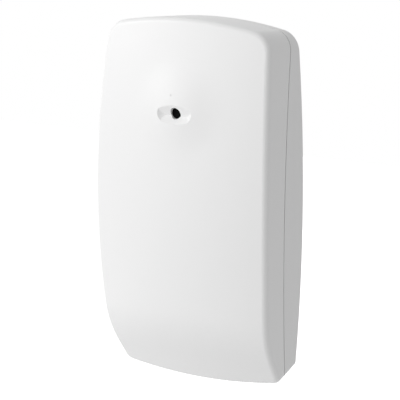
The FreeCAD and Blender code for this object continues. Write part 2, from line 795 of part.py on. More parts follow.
def terminal_block():
    """The terminal block with its wire bays, and a clamp, screw and pin in each way."""
    z = "0 - terminal_below_middle"
    body = new_body("terminal_block")
    wide = f"{TERMINAL_WAYS} * terminal_pitch + 2 * terminal_end_wall"
    pad(body, rectangle(body, "block_plan", wide, "terminal_high", 0, BOARD_FRONT, z), "terminal_deep")
    front = size("board_depth") + size("board_thick") + size("terminal_deep")
    top = size("terminal_high") / 2 - size("terminal_below_middle")
    dress(body, "Chamfer", "block_edge",
          lambda e: front_edges(front)(e) and min(v.Z for v in e.Vertexes) > top - TOUCH,
          Size="terminal_bay_floor / 2")
    bays, clamps, screws = [], [], []
    clamp_deep = "(terminal_bay_deep - 2 * clamp_clearance)"
    clamp_wide = "(terminal_bay_wide - 2 * clamp_clearance)"
    clamp_z = f"({TERMINAL_BOTTOM} + terminal_bay_high - clamp_high / 2)"
    clamp_front = f"({BAY_BACK} + terminal_bay_deep)"
    for i, x in enumerate(terminal_xs()):
        bays.append(bar(f"bay_{i}", "terminal_bay_wide", "terminal_bay_deep", "2 * terminal_bay_high", x,
                        BAY_BACK,
                        TERMINAL_BOTTOM))
        bays.append(through(f"well_{i}", x, clamp_z,
                            "terminal_screw_head_radius + terminal_screw_well_clearance",
                            clamp_front))
        bays.append(through(f"pin_way_{i}", x, clamp_z, "terminal_pin_radius + pin_clearance"))
        cage = bar(f"cage_{i}", clamp_wide, f"{clamp_deep} + clamp_clearance", "clamp_high", x, BAY_BACK,
                   clamp_z)
        room = bar(f"cage_room_{i}", f"{clamp_wide} - 2 * clamp_wall",
                   f"{clamp_deep} - clamp_wall - clamp_front_wall", "2 * clamp_high", x,
                   f"{BAY_BACK} + clamp_wall", clamp_z)
        screw_way = through(f"cage_way_{i}", x, clamp_z, "terminal_screw_radius",
                            f"{BAY_BACK} + clamp_wall")
        clamps.append(cut(f"clamp_{i}", cage, joined(f"cage_cut_{i}", [room, screw_way])))
        shank_back = f"({clamp_front} - clamp_front_wall - 2 * clamp_wall)"
        shank = rod(f"clamp_shank_{i}", "terminal_screw_radius", f"{clamp_front} - {shank_back}", x,
                    shank_back,
                    clamp_z)
        head = rod(f"clamp_head_{i}", "terminal_screw_head_radius", "terminal_screw_head_high", x,
                   clamp_front,
                   clamp_z)
        slot = bar(f"clamp_slot_{i}", "3 * terminal_screw_head_radius", "2 * screw_slot_deep",
                   "screw_slot_wide", x,
                   f"{clamp_front} + terminal_screw_head_high - screw_slot_deep", clamp_z)
        screws.append(cut(f"terminal_screw_{i}", joined(f"clamp_screw_{i}", [shank, head]), slot))
    keep("terminal_block", cut("terminal_block_cut", body, joined("terminal_tools", bays)))
    keep("terminal_clamps", joined("clamp_row", clamps))
    keep("terminal_screws", joined("terminal_screw_row", screws))
    pin_group("terminal_pins", "terminal_pin_radius", PIN_BACK, BAY_BACK,
              [(x, clamp_z) for x in terminal_xs()])


def alarm_relay():
    """The sealed alarm relay and its pins."""
    body = new_body("alarm_relay")
    pad(body, rectangle(body, "relay_plan", "relay_wide", "relay_high", "relay_x", BOARD_FRONT, "relay_z"),
        "relay_deep")
    front = size("board_depth") + size("board_thick") + size("relay_deep")
    dress(body, "Chamfer", "relay_edges", front_edges(front), Size="relay_chamfer")
    keep("alarm_relay", body)
    spots = [(f"relay_x + {side} * relay_pin_spacing / 2", f"relay_z + {row} * relay_pin_spacing")
             for side in (-1, 1) for row in (-1, 0, 1)]
    pin_group("relay_pins", "relay_pin_radius", PIN_BACK, BOARD_FRONT, spots)


def tamper_switch():
    """The switch that the cover's post holds in, its sprung plunger and its pins."""
    body = new_body("tamper_switch")
    pad(body, rectangle(body, "switch_plan", "switch_wide", "switch_wide", "tamper_x", BOARD_FRONT,
                        "tamper_z"),
        "switch_deep")
    dress(body, "Fillet", "switch_corners", lambda e: depth_span(e) > size("switch_deep") / 2,
          Radius="plunger_rounding")
    chamber_front = f"({BOARD_FRONT} + switch_deep - switch_top_wall)"
    chamber_back = f"({BOARD_FRONT} + switch_floor)"
    chamber = rod("switch_chamber", "plunger_flange_radius + plunger_clearance",
                  f"{chamber_front} - {chamber_back}",
                  "tamper_x", chamber_back, "tamper_z")
    mouth = through("switch_mouth", "tamper_x", "tamper_z", "plunger_radius + plunger_clearance",
                    chamber_back)
    keep("tamper_switch", cut("tamper_switch_hollow", body, joined("switch_tools", [chamber, mouth])))
    flange_front = f"({chamber_front} - plunger_slack)"
    flange = rod("plunger_flange", "plunger_flange_radius", "plunger_flange_thick", "tamper_x",
                 f"{flange_front} - plunger_flange_thick", "tamper_z")
    tip = f"({BOARD_FRONT} + switch_deep + plunger_proud)"
    stem = rod("plunger_stem", "plunger_radius", f"{tip} - {flange_front} + plunger_flange_thick",
               "tamper_x",
               f"{flange_front} - plunger_flange_thick", "tamper_z")
    doc.recompute()
    front = size("board_depth") + size("board_thick") + size("switch_deep") + size("plunger_proud")
    stem = rounded("plunger_rounded", stem, front_circle(front), lambda v: size("plunger_rounding"))
    keep("tamper_plunger", joined("plunger", [flange, stem]))
    spots = [(f"tamper_x + {side} * switch_pin_spacing / 2", f"tamper_z + {up} * switch_pin_spacing / 2")
             for side in (-1, 1) for up in (-1, 1)]
    pin_group("tamper_switch_pins", "switch_pin_radius", PIN_BACK, BOARD_FRONT, spots)


def leaded_chip(name, leads_name, wide, high, deep, x, z, count):
    """A small-outline chip with a row of bent leads down each side."""
    body = new_body(name)
    start = f"({BOARD_FRONT} + chip_standoff)"
    pad(body, rectangle(body, f"{name}_plan", wide, high, x, start, z), deep)
    front = size("board_depth") + size("board_thick") + size("chip_standoff") + size(deep)
    dress(body, "Chamfer", f"{name}_edges", front_edges(front), Size=f"{deep} / 8")
    keep(name, body)
    leads = []
    for side in (-1, 1):
        for i in range(count // 2):
            lead_z = f"{z} + ({i} - {count // 2 - 1} / 2) * lead_pitch"
            foot_x = f"{x} + {side} * (({wide}) / 2 + lead_reach / 2)"
            riser_x = f"{x} + {side} * (({wide}) / 2 + lead_riser / 2)"
            foot = bar(f"{name}_foot_{side + 1}_{i}", "lead_reach", "lead_thick", "lead_wide", foot_x,
                       BOARD_FRONT, lead_z)
            riser = bar(f"{name}_riser_{side + 1}_{i}", "lead_riser", f"{deep} / 2 + chip_standoff",
                        "lead_wide", riser_x,
                        BOARD_FRONT, lead_z)
            leads.append(joined(f"{name}_lead_{side + 1}_{i}", [foot, riser]))
    keep(leads_name, joined(f"{leads_name}_row", leads))


def capacitors():
    """Two electrolytic cans, each on its moulded base."""
    cans, bases = [], []
    front = size("board_depth") + size("board_thick") + size("can_base_deep") + size("can_high")
    for i in range(2):
        z = f"can_z + {i} * can_spacing"
        base = bar(f"can_base_{i}", "can_base_wide", "can_base_deep", "can_base_wide", "can_x", BOARD_FRONT,
                   z)
        bases.append(base)
        can = rod(f"can_{i}", "can_radius", "can_high", "can_x", f"{BOARD_FRONT} + can_base_deep", z)
        cans.append(rounded(f"can_rounded_{i}", can, front_circle(front), lambda v: size("can_rounding")))
    keep("filter_capacitors", joined("can_pair", cans))
    keep("capacitor_bases", joined("can_base_pair", bases))


def crystal():
    """The crystal in its flat rounded can."""
    body = new_body("crystal_can")
    pad(body, rectangle(body, "crystal_plan", "crystal_wide", "crystal_high", "crystal_x", BOARD_FRONT,
                        "crystal_z"),
        "crystal_deep")
    dress(body, "Fillet", "crystal_ends", lambda e: depth_span(e) > size("crystal_deep") / 2,
          Radius="crystal_rounding")
    keep("crystal_can", body)


def jumpers():
    """The sensitivity jumpers: a header of two rows of pins, with two caps pushed on."""
    xs = [f"header_x + ({i} - {HEADER_COLUMNS - 1} / 2) * header_pitch" for i in range(HEADER_COLUMNS)]
    zs = [f"header_z + {side} * header_pitch / 2" for side in (-1, 1)]
    base = bar("header_base", f"{HEADER_COLUMNS} * header_pitch", "header_deep", "2 * header_pitch",
               "header_x", BOARD_FRONT,
               "header_z")
    spots = [(x, z) for x in xs for z in zs]
    ways = [through(f"header_way_{i}", x, z, "header_pin_radius") for i, (x, z) in enumerate(spots)]
    keep("jumper_header", cut("header_drilled", base, joined("header_ways", ways)))
    pin_group("jumper_pins", "header_pin_radius", PIN_BACK,
              f"{BOARD_FRONT} + header_deep + header_pin_proud", spots)
    caps = []
    for x in (xs[0], xs[-1]):
        start = f"({BOARD_FRONT} + header_deep)"
        cap = bar(f"cap_{len(caps)}", "header_pitch - cap_gap", "cap_deep", "2 * header_pitch - cap_gap", x,
                  start,
                  "header_z")
        bores = [rod(f"cap_bore_{len(caps)}_{i}", "header_pin_radius + cap_pin_clearance", "cap_deep", x,
                     f"{start} - cap_gap / 2", z) for i, z in enumerate(zs)]
        caps.append(cut(f"cap_bored_{len(caps)}", cap, joined(f"cap_bores_{len(caps)}", bores)))
    keep("jumper_caps", joined("cap_pair", caps))


# Where the chip resistors and chip capacitors sit on the board, as x and z.
RESISTOR_SPOTS = [(-19.5, 14), (-19.5, 10), (-19.5, 6), (-19.5, 2), (0.5, 4), (0.5, 0), (12, 5), (12, 1.5),
                  (19, 12), (19, 8), (-3, 20), (5, 20)]
CAPACITOR_SPOTS = [(-19, 30), (-19, 24), (-6.5, 33), (7.5, 33), (7.5, 27), (-3, -4), (17, 18), (-8, 17.5)]


def chip_parts(name, deep, spots):
    """A set of two-ended chip parts of one height, at several spots."""
    bars = [bar(f"{name}_{i}", "chip_part_wide", deep, "chip_part_high", x, BOARD_FRONT, z)
            for i, (x, z) in enumerate(spots)]
    keep(name, joined(f"{name}_set", bars))


def small_parts():
    """The regulator, the input diode and the chip resistors and capacitors."""
    body = new_body("voltage_regulator")
    pad(body, rectangle(body, "regulator_plan", "regulator_wide", "regulator_high", "regulator_x",
                        BOARD_FRONT,
                        "regulator_z"), "regulator_deep")
    front = size("board_depth") + size("board_thick") + size("regulator_deep")
    dress(body, "Chamfer", "regulator_edges", front_edges(front), Size="regulator_deep / 6")
    keep("voltage_regulator", body)
    legs = [bar(f"regulator_leg_{i}", "lead_wide", "lead_thick", "lead_reach",
                f"regulator_x + {i} * lead_pitch",
                BOARD_FRONT, "regulator_z - regulator_high / 2 - lead_reach / 2") for i in (-1, 0, 1)]
    keep("regulator_leads", joined("regulator_legs", legs))
    body = new_body("input_diode")
    pad(body, rectangle(body, "diode_plan", "diode_wide", "diode_high", "diode_x", BOARD_FRONT, "diode_z"),
        "diode_deep")
    front = size("board_depth") + size("board_thick") + size("diode_deep")
    dress(body, "Chamfer", "diode_edges", front_edges(front), Size="diode_deep / 6")
    keep("input_diode", body)
    ends = [bar(f"diode_end_{side + 1}", "lead_riser", "diode_deep / 2", "diode_high / 2",
                f"diode_x + {side} * (diode_wide + lead_riser) / 2", BOARD_FRONT, "diode_z")
            for side in (-1, 1)]
    keep("diode_terminals", joined("diode_ends", ends))
    chip_parts("chip_resistors", "resistor_deep", RESISTOR_SPOTS)
    chip_parts("chip_capacitors", "capacitor_deep", CAPACITOR_SPOTS)


def check_document():
    """Stops if any object of the document failed or any sub-part has no sound shape."""
    doc.recompute()
    for item in doc.Objects:
        if "Invalid" in item.State or "Error" in item.State:
            raise RuntimeError(f"{item.Name} failed: {item.State}")
    for item in parts:
        if item.Shape.isNull() or not item.Shape.isValid() or not item.Shape.Solids:
            raise RuntimeError(f"{item.Label} has no sound shape")


def write_parts():
    """Writes each sub-part to its own file."""
    os.makedirs("parts", exist_ok=True)
    for item in parts:
        item.Shape.exportStep(f"parts/{item.Label}.step")
        print(f"{item.Label}: {len(item.Shape.Solids)} solids, {item.Shape.Volume:.1f} cubic mm")


cavity = housing_form("cavity", "housing_wall", size("housing_wall"), "floor_thick")
front_cover(hull_shell(), cavity)
rear_base(cavity)
board_screws()
microphone()
indicator()
terminal_block()
alarm_relay()
tamper_switch()
leaded_chip("processor_chip", "processor_leads", "processor_wide", "processor_high", "processor_deep",
            "processor_x",
            "processor_z", PROCESSOR_LEAD_COUNT)
leaded_chip("amplifier_chip", "amplifier_leads", "amplifier_wide", "amplifier_high", "amplifier_deep",
            "amplifier_x",
            "amplifier_z", AMPLIFIER_LEAD_COUNT)
capacitors()
crystal()
jumpers()
small_parts()
circuit_board()
check_document()
write_parts()
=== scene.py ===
import math

import bmesh
import bpy
from bpy.props import FloatProperty, FloatVectorProperty, PointerProperty
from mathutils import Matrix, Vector


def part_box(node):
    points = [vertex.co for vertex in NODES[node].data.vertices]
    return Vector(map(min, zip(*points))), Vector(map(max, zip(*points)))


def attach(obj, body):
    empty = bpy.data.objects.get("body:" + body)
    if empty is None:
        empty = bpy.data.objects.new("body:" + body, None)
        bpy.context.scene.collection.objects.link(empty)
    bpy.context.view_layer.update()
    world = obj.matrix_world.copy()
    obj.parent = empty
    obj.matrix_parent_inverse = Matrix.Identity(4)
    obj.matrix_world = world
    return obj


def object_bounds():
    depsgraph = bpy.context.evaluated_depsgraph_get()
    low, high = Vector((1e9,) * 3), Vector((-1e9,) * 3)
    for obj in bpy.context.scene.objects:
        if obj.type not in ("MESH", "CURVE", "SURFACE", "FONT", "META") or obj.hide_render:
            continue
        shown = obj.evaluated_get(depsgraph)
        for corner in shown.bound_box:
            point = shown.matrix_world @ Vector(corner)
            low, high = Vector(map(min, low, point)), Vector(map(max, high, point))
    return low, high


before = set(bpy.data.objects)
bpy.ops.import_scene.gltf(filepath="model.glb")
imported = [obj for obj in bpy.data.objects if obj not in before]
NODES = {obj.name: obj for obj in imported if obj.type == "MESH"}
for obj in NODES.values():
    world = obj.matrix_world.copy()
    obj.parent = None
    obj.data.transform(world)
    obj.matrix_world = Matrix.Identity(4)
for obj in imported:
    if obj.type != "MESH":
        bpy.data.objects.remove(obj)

bl_info = {
    "name": "Glass break sensor",
    "version": (1, 0, 0),
    "blender": (4, 5, 0),
    "location": "3D View > Sidebar > Sensor",
    "description": "Dresses the packed glass break sensor and sets its stage",
    "category": "Object",
}

CAD_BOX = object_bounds()
MM = 0.001


# Settings

class SensorPlastic(bpy.types.PropertyGroup):
    """Sizes and colours of the housing's plastic."""
    cover_colour: FloatVectorProperty(
        name="Cover colour", description="Colour of the front cover",
        size=3, default=(0.86, 0.86, 0.86), min=0, max=1, subtype="COLOR")
    base_colour: FloatVectorProperty(
        name="Base colour", description="Colour of the rear base",
        size=3, default=(0.85, 0.85, 0.85), min=0, max=1, subtype="COLOR")
    grain_size: FloatProperty(
        name="Grain size", description="Width of one grain of the moulded texture",
        default=0.35 * MM, min=0.0001, max=0.01, unit="LENGTH", subtype="DISTANCE")
    grain_height: FloatProperty(
        name="Grain height", description="Height of the moulded texture",
        default=0.012 * MM, min=0, max=0.001, unit="LENGTH", subtype="DISTANCE")


class SensorBoard(bpy.types.PropertyGroup):
    """Sizes and colours of what is on the circuit board."""
    mask_colour: FloatVectorProperty(
        name="Board colour", description="Colour of the solder mask",
        size=3, default=(0.02, 0.16, 0.06), min=0, max=1, subtype="COLOR")
    track_colour: FloatVectorProperty(
        name="Track colour", description="Colour of the mask over copper tracks",
        size=3, default=(0.04, 0.26, 0.1), min=0, max=1, subtype="COLOR")
    joint_margin: FloatProperty(
        name="Joint margin", description="How far a solder joint spreads past its pin",
        default=0.5 * MM, min=0.0001, max=0.005, unit="LENGTH", subtype="DISTANCE")
    joint_height: FloatProperty(
        name="Joint height", description="Height of a solder joint",
        default=0.7 * MM, min=0.0001, max=0.005, unit="LENGTH", subtype="DISTANCE")
    cap_length: FloatProperty(
        name="Cap length", description="Length of a chip part's metal end cap",
        default=0.38 * MM, min=0.0001, max=0.002, unit="LENGTH", subtype="DISTANCE")
    cap_thickness: FloatProperty(
        name="Cap thickness", description="How far an end cap stands off the chip part",
        default=0.02 * MM, min=0.000005, max=0.0005, unit="LENGTH", subtype="DISTANCE")


class SensorStage(bpy.types.PropertyGroup):
    """The camera and the lights."""
    azimuth: FloatProperty(
        name="Azimuth", description="Camera's turn to the right of the front",
        default=math.radians(33.0), subtype="ANGLE", unit="ROTATION")
    elevation: FloatProperty(
        name="Elevation", description="Camera's height above the horizon",
        default=math.radians(11.75), subtype="ANGLE", unit="ROTATION")
    distance: FloatProperty(
        name="Distance", description="Camera's distance from the wall point",
        default=0.78, min=0.1, unit="LENGTH", subtype="DISTANCE")
    front_power: FloatProperty(
        name="Front power", description="Power of the large lamp to the left of the front",
        default=10.2, min=0, unit="POWER")
    side_power: FloatProperty(
        name="Side power", description="Power of the smaller lamp on the left",
        default=6.3, min=0, unit="POWER")
    room_light: FloatProperty(
        name="Room light", description="Strength of the room's even light",
        default=0.5, min=0, max=1, subtype="FACTOR")


# Node helpers

def feed(tree, socket, value):
    """Links an input to another node's output, or sets it to a plain value."""
    if isinstance(value, bpy.types.NodeSocket):
        tree.links.new(value, socket)
    else:
        socket.default_value = value


def add(tree, kind, **values):
    """Adds a node; the values name its inputs or its own settings."""
    node = tree.nodes.new(kind)
    for name, value in values.items():
        label = name.replace("_", " ")
        if label in node.inputs:
            feed(tree, node.inputs[label], value)
        else:
            setattr(node, name, value)
    return node


def calculate(tree, operation, *operands):
    """Adds a math node on numbers or other nodes' outputs; it returns the result's socket."""
    node = add(tree, "ShaderNodeMath", operation=operation)
    for socket, operand in zip(node.inputs, operands):
        feed(tree, socket, operand)
    return node.outputs[0]


# Shader groups and materials

COARSE_GRAIN_SCALE = 0.31  # scale of the coarse grain as a share of the fine grain's
COARSE_GRAIN_SHARE = 0.4   # height of the coarse grain beside the fine grain's 1
TRACK_RUN = 9.0            # length of a straight track, in track spacings
TRACK_WIDTH = 0.12         # width of a track's line, in track spacings
TRACK_AREA_SCALE = 130.0   # scale of the noise that breaks the tracks up
TRACK_AREA_LEVEL = 0.47    # noise level above which there are tracks
COAT_ROUGHNESS = 0.1
MIX_FACTOR, MIX_FIRST, MIX_SECOND, MIX_RESULT = 0, 6, 7, 2  # colour sockets of a Mix node


def new_group(name, inputs, outputs):
    """An empty shader node group with named sockets; it returns the group, its input and output."""
    group = bpy.data.node_groups.new(name, "ShaderNodeTree")
    for label, kind, value in inputs:
        socket = group.interface.new_socket(name=label, in_out="INPUT", socket_type=kind)
        socket.default_value = value
    for label, kind in outputs:
        group.interface.new_socket(name=label, in_out="OUTPUT", socket_type=kind)
    return group, group.nodes.new("NodeGroupInput"), group.nodes.new("NodeGroupOutput")


def use_group(tree, group, **values):
    """Places a node group in a material with its own values."""
    node = tree.nodes.new("ShaderNodeGroup")
    node.node_tree = group
    for name, value in values.items():
        feed(tree, node.inputs[name], value)
    return node


def object_place(tree):
    """Object coordinates."""
    return tree.nodes.new("ShaderNodeTexCoord").outputs["Object"]


def grain_group():
    """Fine moulded grain: a height from two sizes of noise."""
    group, start, end = new_group("moulded_grain",
                                  [("Vector", "NodeSocketVector", (0, 0, 0)),
                                   ("Size", "NodeSocketFloat", 0.4 * MM)],
                                  [("Height", "NodeSocketFloat")])
    scale = calculate(group, "DIVIDE", 1.0, start.outputs["Size"])
    fine = add(group, "ShaderNodeTexNoise", Vector=start.outputs["Vector"], Scale=scale,
               Detail=2.0, Roughness=0.5)
    coarse_scale = calculate(group, "MULTIPLY", scale, COARSE_GRAIN_SCALE)
    coarse = add(group, "ShaderNodeTexNoise", Vector=start.outputs["Vector"], Scale=coarse_scale,
                 Detail=1.0, Roughness=0.5)
    height = calculate(group, "MULTIPLY_ADD", coarse.outputs["Fac"], COARSE_GRAIN_SHARE,
                       fine.outputs["Fac"])
    group.links.new(height, end.inputs["Height"])
    return group


def variation_group():
    """Slow colour variation: noise darkens and lightens the colour by a share."""
    group, start, end = new_group("slow_variation",
                                  [("Vector", "NodeSocketVector", (0, 0, 0)),
                                   ("Colour", "NodeSocketColor", (1, 1, 1, 1)),
                                   ("Scale", "NodeSocketFloat", 60.0),
                                   ("Amount", "NodeSocketFloat", 0.03)],
                                  [("Colour", "NodeSocketColor"), ("Mask", "NodeSocketFloat")])
    noise = add(group, "ShaderNodeTexNoise", Vector=start.outputs["Vector"],
                Scale=start.outputs["Scale"], Detail=3.0, Roughness=0.6)
    centred = calculate(group, "SUBTRACT", noise.outputs["Fac"], 0.5)
    gain = calculate(group, "MULTIPLY_ADD", centred, start.outputs["Amount"], 1.0)
    tint = add(group, "ShaderNodeVectorMath", operation="SCALE", Vector=start.outputs["Colour"],
               Scale=gain)
    group.links.new(tint.outputs[0], end.inputs["Colour"])
    group.links.new(noise.outputs["Fac"], end.inputs["Mask"])
    return group


def track_group():
    """Copper tracks under the solder mask: staggered lines, broken up by a slow noise."""
    group, start, end = new_group("board_tracks",
                                  [("Vector", "NodeSocketVector", (0, 0, 0)),
                                   ("Spacing", "NodeSocketFloat", 1.3 * MM)],
                                  [("Mask", "NodeSocketFloat")])
    axes = add(group, "ShaderNodeSeparateXYZ", Vector=start.outputs["Vector"])
    flat = add(group, "ShaderNodeCombineXYZ", X=axes.outputs["Z"], Y=axes.outputs["X"]).outputs[0]
    scale = calculate(group, "DIVIDE", 1.0, start.outputs["Spacing"])
    lines = add(group, "ShaderNodeTexBrick", Vector=flat, Scale=scale, Brick_Width=TRACK_RUN,
                Row_Height=1.0, Mortar_Size=TRACK_WIDTH, Mortar_Smooth=0.1)
    areas = add(group, "ShaderNodeTexNoise", Vector=flat, Scale=TRACK_AREA_SCALE, Detail=0.0)
    chosen = calculate(group, "GREATER_THAN", areas.outputs["Fac"], TRACK_AREA_LEVEL)
    mask = calculate(group, "MULTIPLY", lines.outputs["Fac"], chosen)
    group.links.new(mask, end.inputs["Mask"])
    return group


GROUPS = {}  # shared node groups built so far


def group_named(name):
    """A shared node group, built the first time that it is asked for."""
    makers = {"grain": grain_group, "variation": variation_group, "tracks": track_group}
    if name not in GROUPS:
        GROUPS[name] = makers[name]()
    return GROUPS[name]


def finish(name, colour, roughness, spread=0.04, scale=60.0, rough_spread=0.06, grain=0.4 * MM,
           bump=0.01 * MM, metallic=0.0, coat=0.0, ior=1.5):
    """A material with slow colour variation, roughness that follows it, and grain in its normal.

    spread is the share by which the colour varies and scale its changes in a metre. grain is the
    width of a grain and bump its height, in metres.
    """
    material = bpy.data.materials.new(name)
    material.use_nodes = True
    tree = material.node_tree
    shader = tree.nodes["Principled BSDF"]
    place = object_place(tree)
    varied = use_group(tree, group_named("variation"), Vector=place, Scale=scale, Amount=spread,
                       Colour=(*colour, 1))
    tree.links.new(varied.outputs["Colour"], shader.inputs["Base Color"])
    rough = calculate(tree, "MULTIPLY_ADD", varied.outputs["Mask"], rough_spread,
                      roughness - rough_spread / 2)
    tree.links.new(rough, shader.inputs["Roughness"])
    grained = use_group(tree, group_named("grain"), Vector=place, Size=grain)
    raised = add(tree, "ShaderNodeBump", Height=grained.outputs["Height"], Distance=bump,
                 Strength=1.0)
    tree.links.new(raised.outputs["Normal"], shader.inputs["Normal"])
    shader.inputs["Metallic"].default_value = metallic
    shader.inputs["IOR"].default_value = ior
    if coat:
        shader.inputs["Coat Weight"].default_value = coat
        shader.inputs["Coat Roughness"].default_value = COAT_ROUGHNESS
    return material


def with_tracks(material, colour):
    """Lays tracks of another colour over a board's own colour."""
    tree = material.node_tree
    base = tree.nodes["Principled BSDF"].inputs["Base Color"]
    tracks = use_group(tree, group_named("tracks"), Vector=object_place(tree))
    laid = add(tree, "ShaderNodeMix", data_type="RGBA")
    feed(tree, laid.inputs[MIX_FACTOR], tracks.outputs["Mask"])
    feed(tree, laid.inputs[MIX_FIRST], base.links[0].from_socket)
    feed(tree, laid.inputs[MIX_SECOND], (*colour, 1))
    tree.links.new(laid.outputs[MIX_RESULT], base)
    return material


def dress(material, *names):
    """Gives CAD nodes a material."""
    for name in names:
        mesh = NODES[name].data
        mesh.materials.clear()
        mesh.materials.append(material)


# Pieces made by Geometry Nodes

MERGE_DISTANCE = 1e-6  # joins the corners that a CAD node's triangles share
CONE_SIDES = 24
CONE_RINGS = 4
CONE_TOP = 0.45        # radius of a solder cone's top as a share of its foot's


def islands(name):
    """The lowest and highest corner of each separate solid of a CAD node."""
    form = bmesh.new()
    form.from_mesh(NODES[name].data)
    bmesh.ops.remove_doubles(form, verts=form.verts, dist=MERGE_DISTANCE)
    reached = set()
    boxes = []
    for first in form.verts:
        if first in reached:
            continue
        reached.add(first)
        solid = [first]
        for vertex in solid:
            for edge in vertex.link_edges:
                other = edge.other_vert(vertex)
                if other not in reached:
                    reached.add(other)
                    solid.append(other)
        places = [vertex.co for vertex in solid]
        boxes.append((Vector(map(min, zip(*places))), Vector(map(max, zip(*places)))))
    form.free()
    return boxes


def new_maker(name, *inputs):
    """A geometry node group with named inputs and a material; it returns the group and its ends."""
    group = bpy.data.node_groups.new(name, "GeometryNodeTree")
    group.interface.new_socket(name="Geometry", in_out="INPUT", socket_type="NodeSocketGeometry")
    for label, kind, value in inputs:
        socket = group.interface.new_socket(name=label, in_out="INPUT", socket_type=kind)
        socket.default_value = value
    group.interface.new_socket(name="Material", in_out="INPUT", socket_type="NodeSocketMaterial")
    group.interface.new_socket(name="Geometry", in_out="OUTPUT", socket_type="NodeSocketGeometry")
    return group, group.nodes.new("NodeGroupInput"), group.nodes.new("NodeGroupOutput")


def end_maker(group, start, instances, end, smooth):
    """Ends a geometry node group: real meshes, their shading and their material."""
    real = add(group, "GeometryNodeRealizeInstances", Geometry=instances)
    shade = add(group, "GeometryNodeSetShadeSmooth", Shade_Smooth=smooth)
    group.links.new(real.outputs[0], shade.inputs[0])
    painted = add(group, "GeometryNodeSetMaterial", Geometry=shade.outputs[0],
                  Material=start.outputs["Material"])
    group.links.new(painted.outputs[0], end.inputs["Geometry"])


def joint_maker():
    """Solder cones: each point carries a cone whose foot is its pin's radius and a margin."""
    group, start, end = new_maker("solder_joints", ("Margin", "NodeSocketFloat", 0.5 * MM),
                                  ("Height", "NodeSocketFloat", 0.7 * MM))
    cone = add(group, "GeometryNodeMeshCone", Vertices=CONE_SIDES, Side_Segments=CONE_RINGS,
               Radius_Bottom=1.0, Radius_Top=CONE_TOP, Depth=start.outputs["Height"])
    turned = add(group, "GeometryNodeTransform", Geometry=cone.outputs["Mesh"],
                 Rotation=(-math.pi / 2, 0, 0))
    radius = add(group, "GeometryNodeInputNamedAttribute", data_type="FLOAT", Name="pin_radius")
    foot = calculate(group, "ADD", radius.outputs["Attribute"], start.outputs["Margin"])
    scale = add(group, "ShaderNodeCombineXYZ", X=foot, Y=1.0, Z=foot)
    placed = add(group, "GeometryNodeInstanceOnPoints", Points=start.outputs["Geometry"],
                 Instance=turned.outputs[0], Scale=scale.outputs[0])
    end_maker(group, start, placed.outputs[0], end, True)
    return group


def cap_maker():
    """End caps: each point carries two thin metal sleeves, one at each end of its chip part."""
    group, start, end = new_maker("end_caps",
                                  ("Size", "NodeSocketVector", (2 * MM, 0.5 * MM, 1.25 * MM)),
                                  ("Cap Length", "NodeSocketFloat", 0.4 * MM),
                                  ("Thickness", "NodeSocketFloat", 0.02 * MM))
    length, thickness = start.outputs["Cap Length"], start.outputs["Thickness"]
    part = add(group, "ShaderNodeSeparateXYZ", Vector=start.outputs["Size"])
    grown = [calculate(group, "MULTIPLY_ADD", thickness, 2.0, part.outputs[axis]) for axis in "YZ"]
    sides = add(group, "ShaderNodeCombineXYZ", X=length, Y=grown[0], Z=grown[1])
    sleeve = add(group, "GeometryNodeMeshCube", Size=sides.outputs[0])
    between = calculate(group, "SUBTRACT", part.outputs["X"], length)
    pair = group.nodes.new("GeometryNodeJoinGeometry")
    for side in (-1, 1):
        proud = calculate(group, "MULTIPLY", thickness, side)
        reach = calculate(group, "MULTIPLY_ADD", between, side / 2, proud)
        offset = add(group, "ShaderNodeCombineXYZ", X=reach)
        moved = add(group, "GeometryNodeTransform", Geometry=sleeve.outputs["Mesh"],
                    Translation=offset.outputs[0])
        group.links.new(moved.outputs[0], pair.inputs[0])
    placed = add(group, "GeometryNodeInstanceOnPoints", Points=start.outputs["Geometry"],
                 Instance=pair.outputs[0])
    end_maker(group, start, placed.outputs[0], end, False)
    return group


def grow(name, places, group, attribute=None, **values):
    """Makes one plain mesh from points and a geometry node group; the values name its inputs."""
    points = bpy.data.meshes.new(f"{name}_points")
    points.from_pydata([tuple(place) for place in places], [], [])
    if attribute:
        label, numbers = attribute
        points.attributes.new(label, "FLOAT", "POINT").data.foreach_set("value", numbers)
    carrier = bpy.data.objects.new(f"{name}_points", points)
    bpy.context.scene.collection.objects.link(carrier)
    maker = carrier.modifiers.new("nodes", "NODES")
    maker.node_group = group
    for socket in group.interface.items_tree:
        if socket.item_type == "SOCKET" and socket.in_out == "INPUT" and socket.name in values:
            maker[socket.identifier] = values[socket.name]
    bpy.context.view_layer.update()
    grown = carrier.evaluated_get(bpy.context.evaluated_depsgraph_get())
    mesh = bpy.data.meshes.new_from_object(grown)
    carrier.modifiers.remove(maker)
    bpy.data.objects.remove(carrier)
    piece = bpy.data.objects.new(name, mesh)
    bpy.context.scene.collection.objects.link(piece)
    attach(piece, "housing")
    return piece


# Pieces

class SENSOR_OT_housing(bpy.types.Operator):
    """Finish the cover and the base in matt white moulded plastic"""
    bl_idname = "sensor.housing"
    bl_label = "Housing"

    def execute(self, context):
        plastic = context.scene.sensor_plastic
        moulded = {"spread": 0.012, "scale": 25.0, "grain": plastic.grain_size,
                   "bump": plastic.grain_height}
        dress(finish("cover_plastic", plastic.cover_colour, 0.42, **moulded), "front_cover")
        dress(finish("base_plastic", plastic.base_colour, 0.46, **moulded), "rear_base")
        return {"FINISHED"}


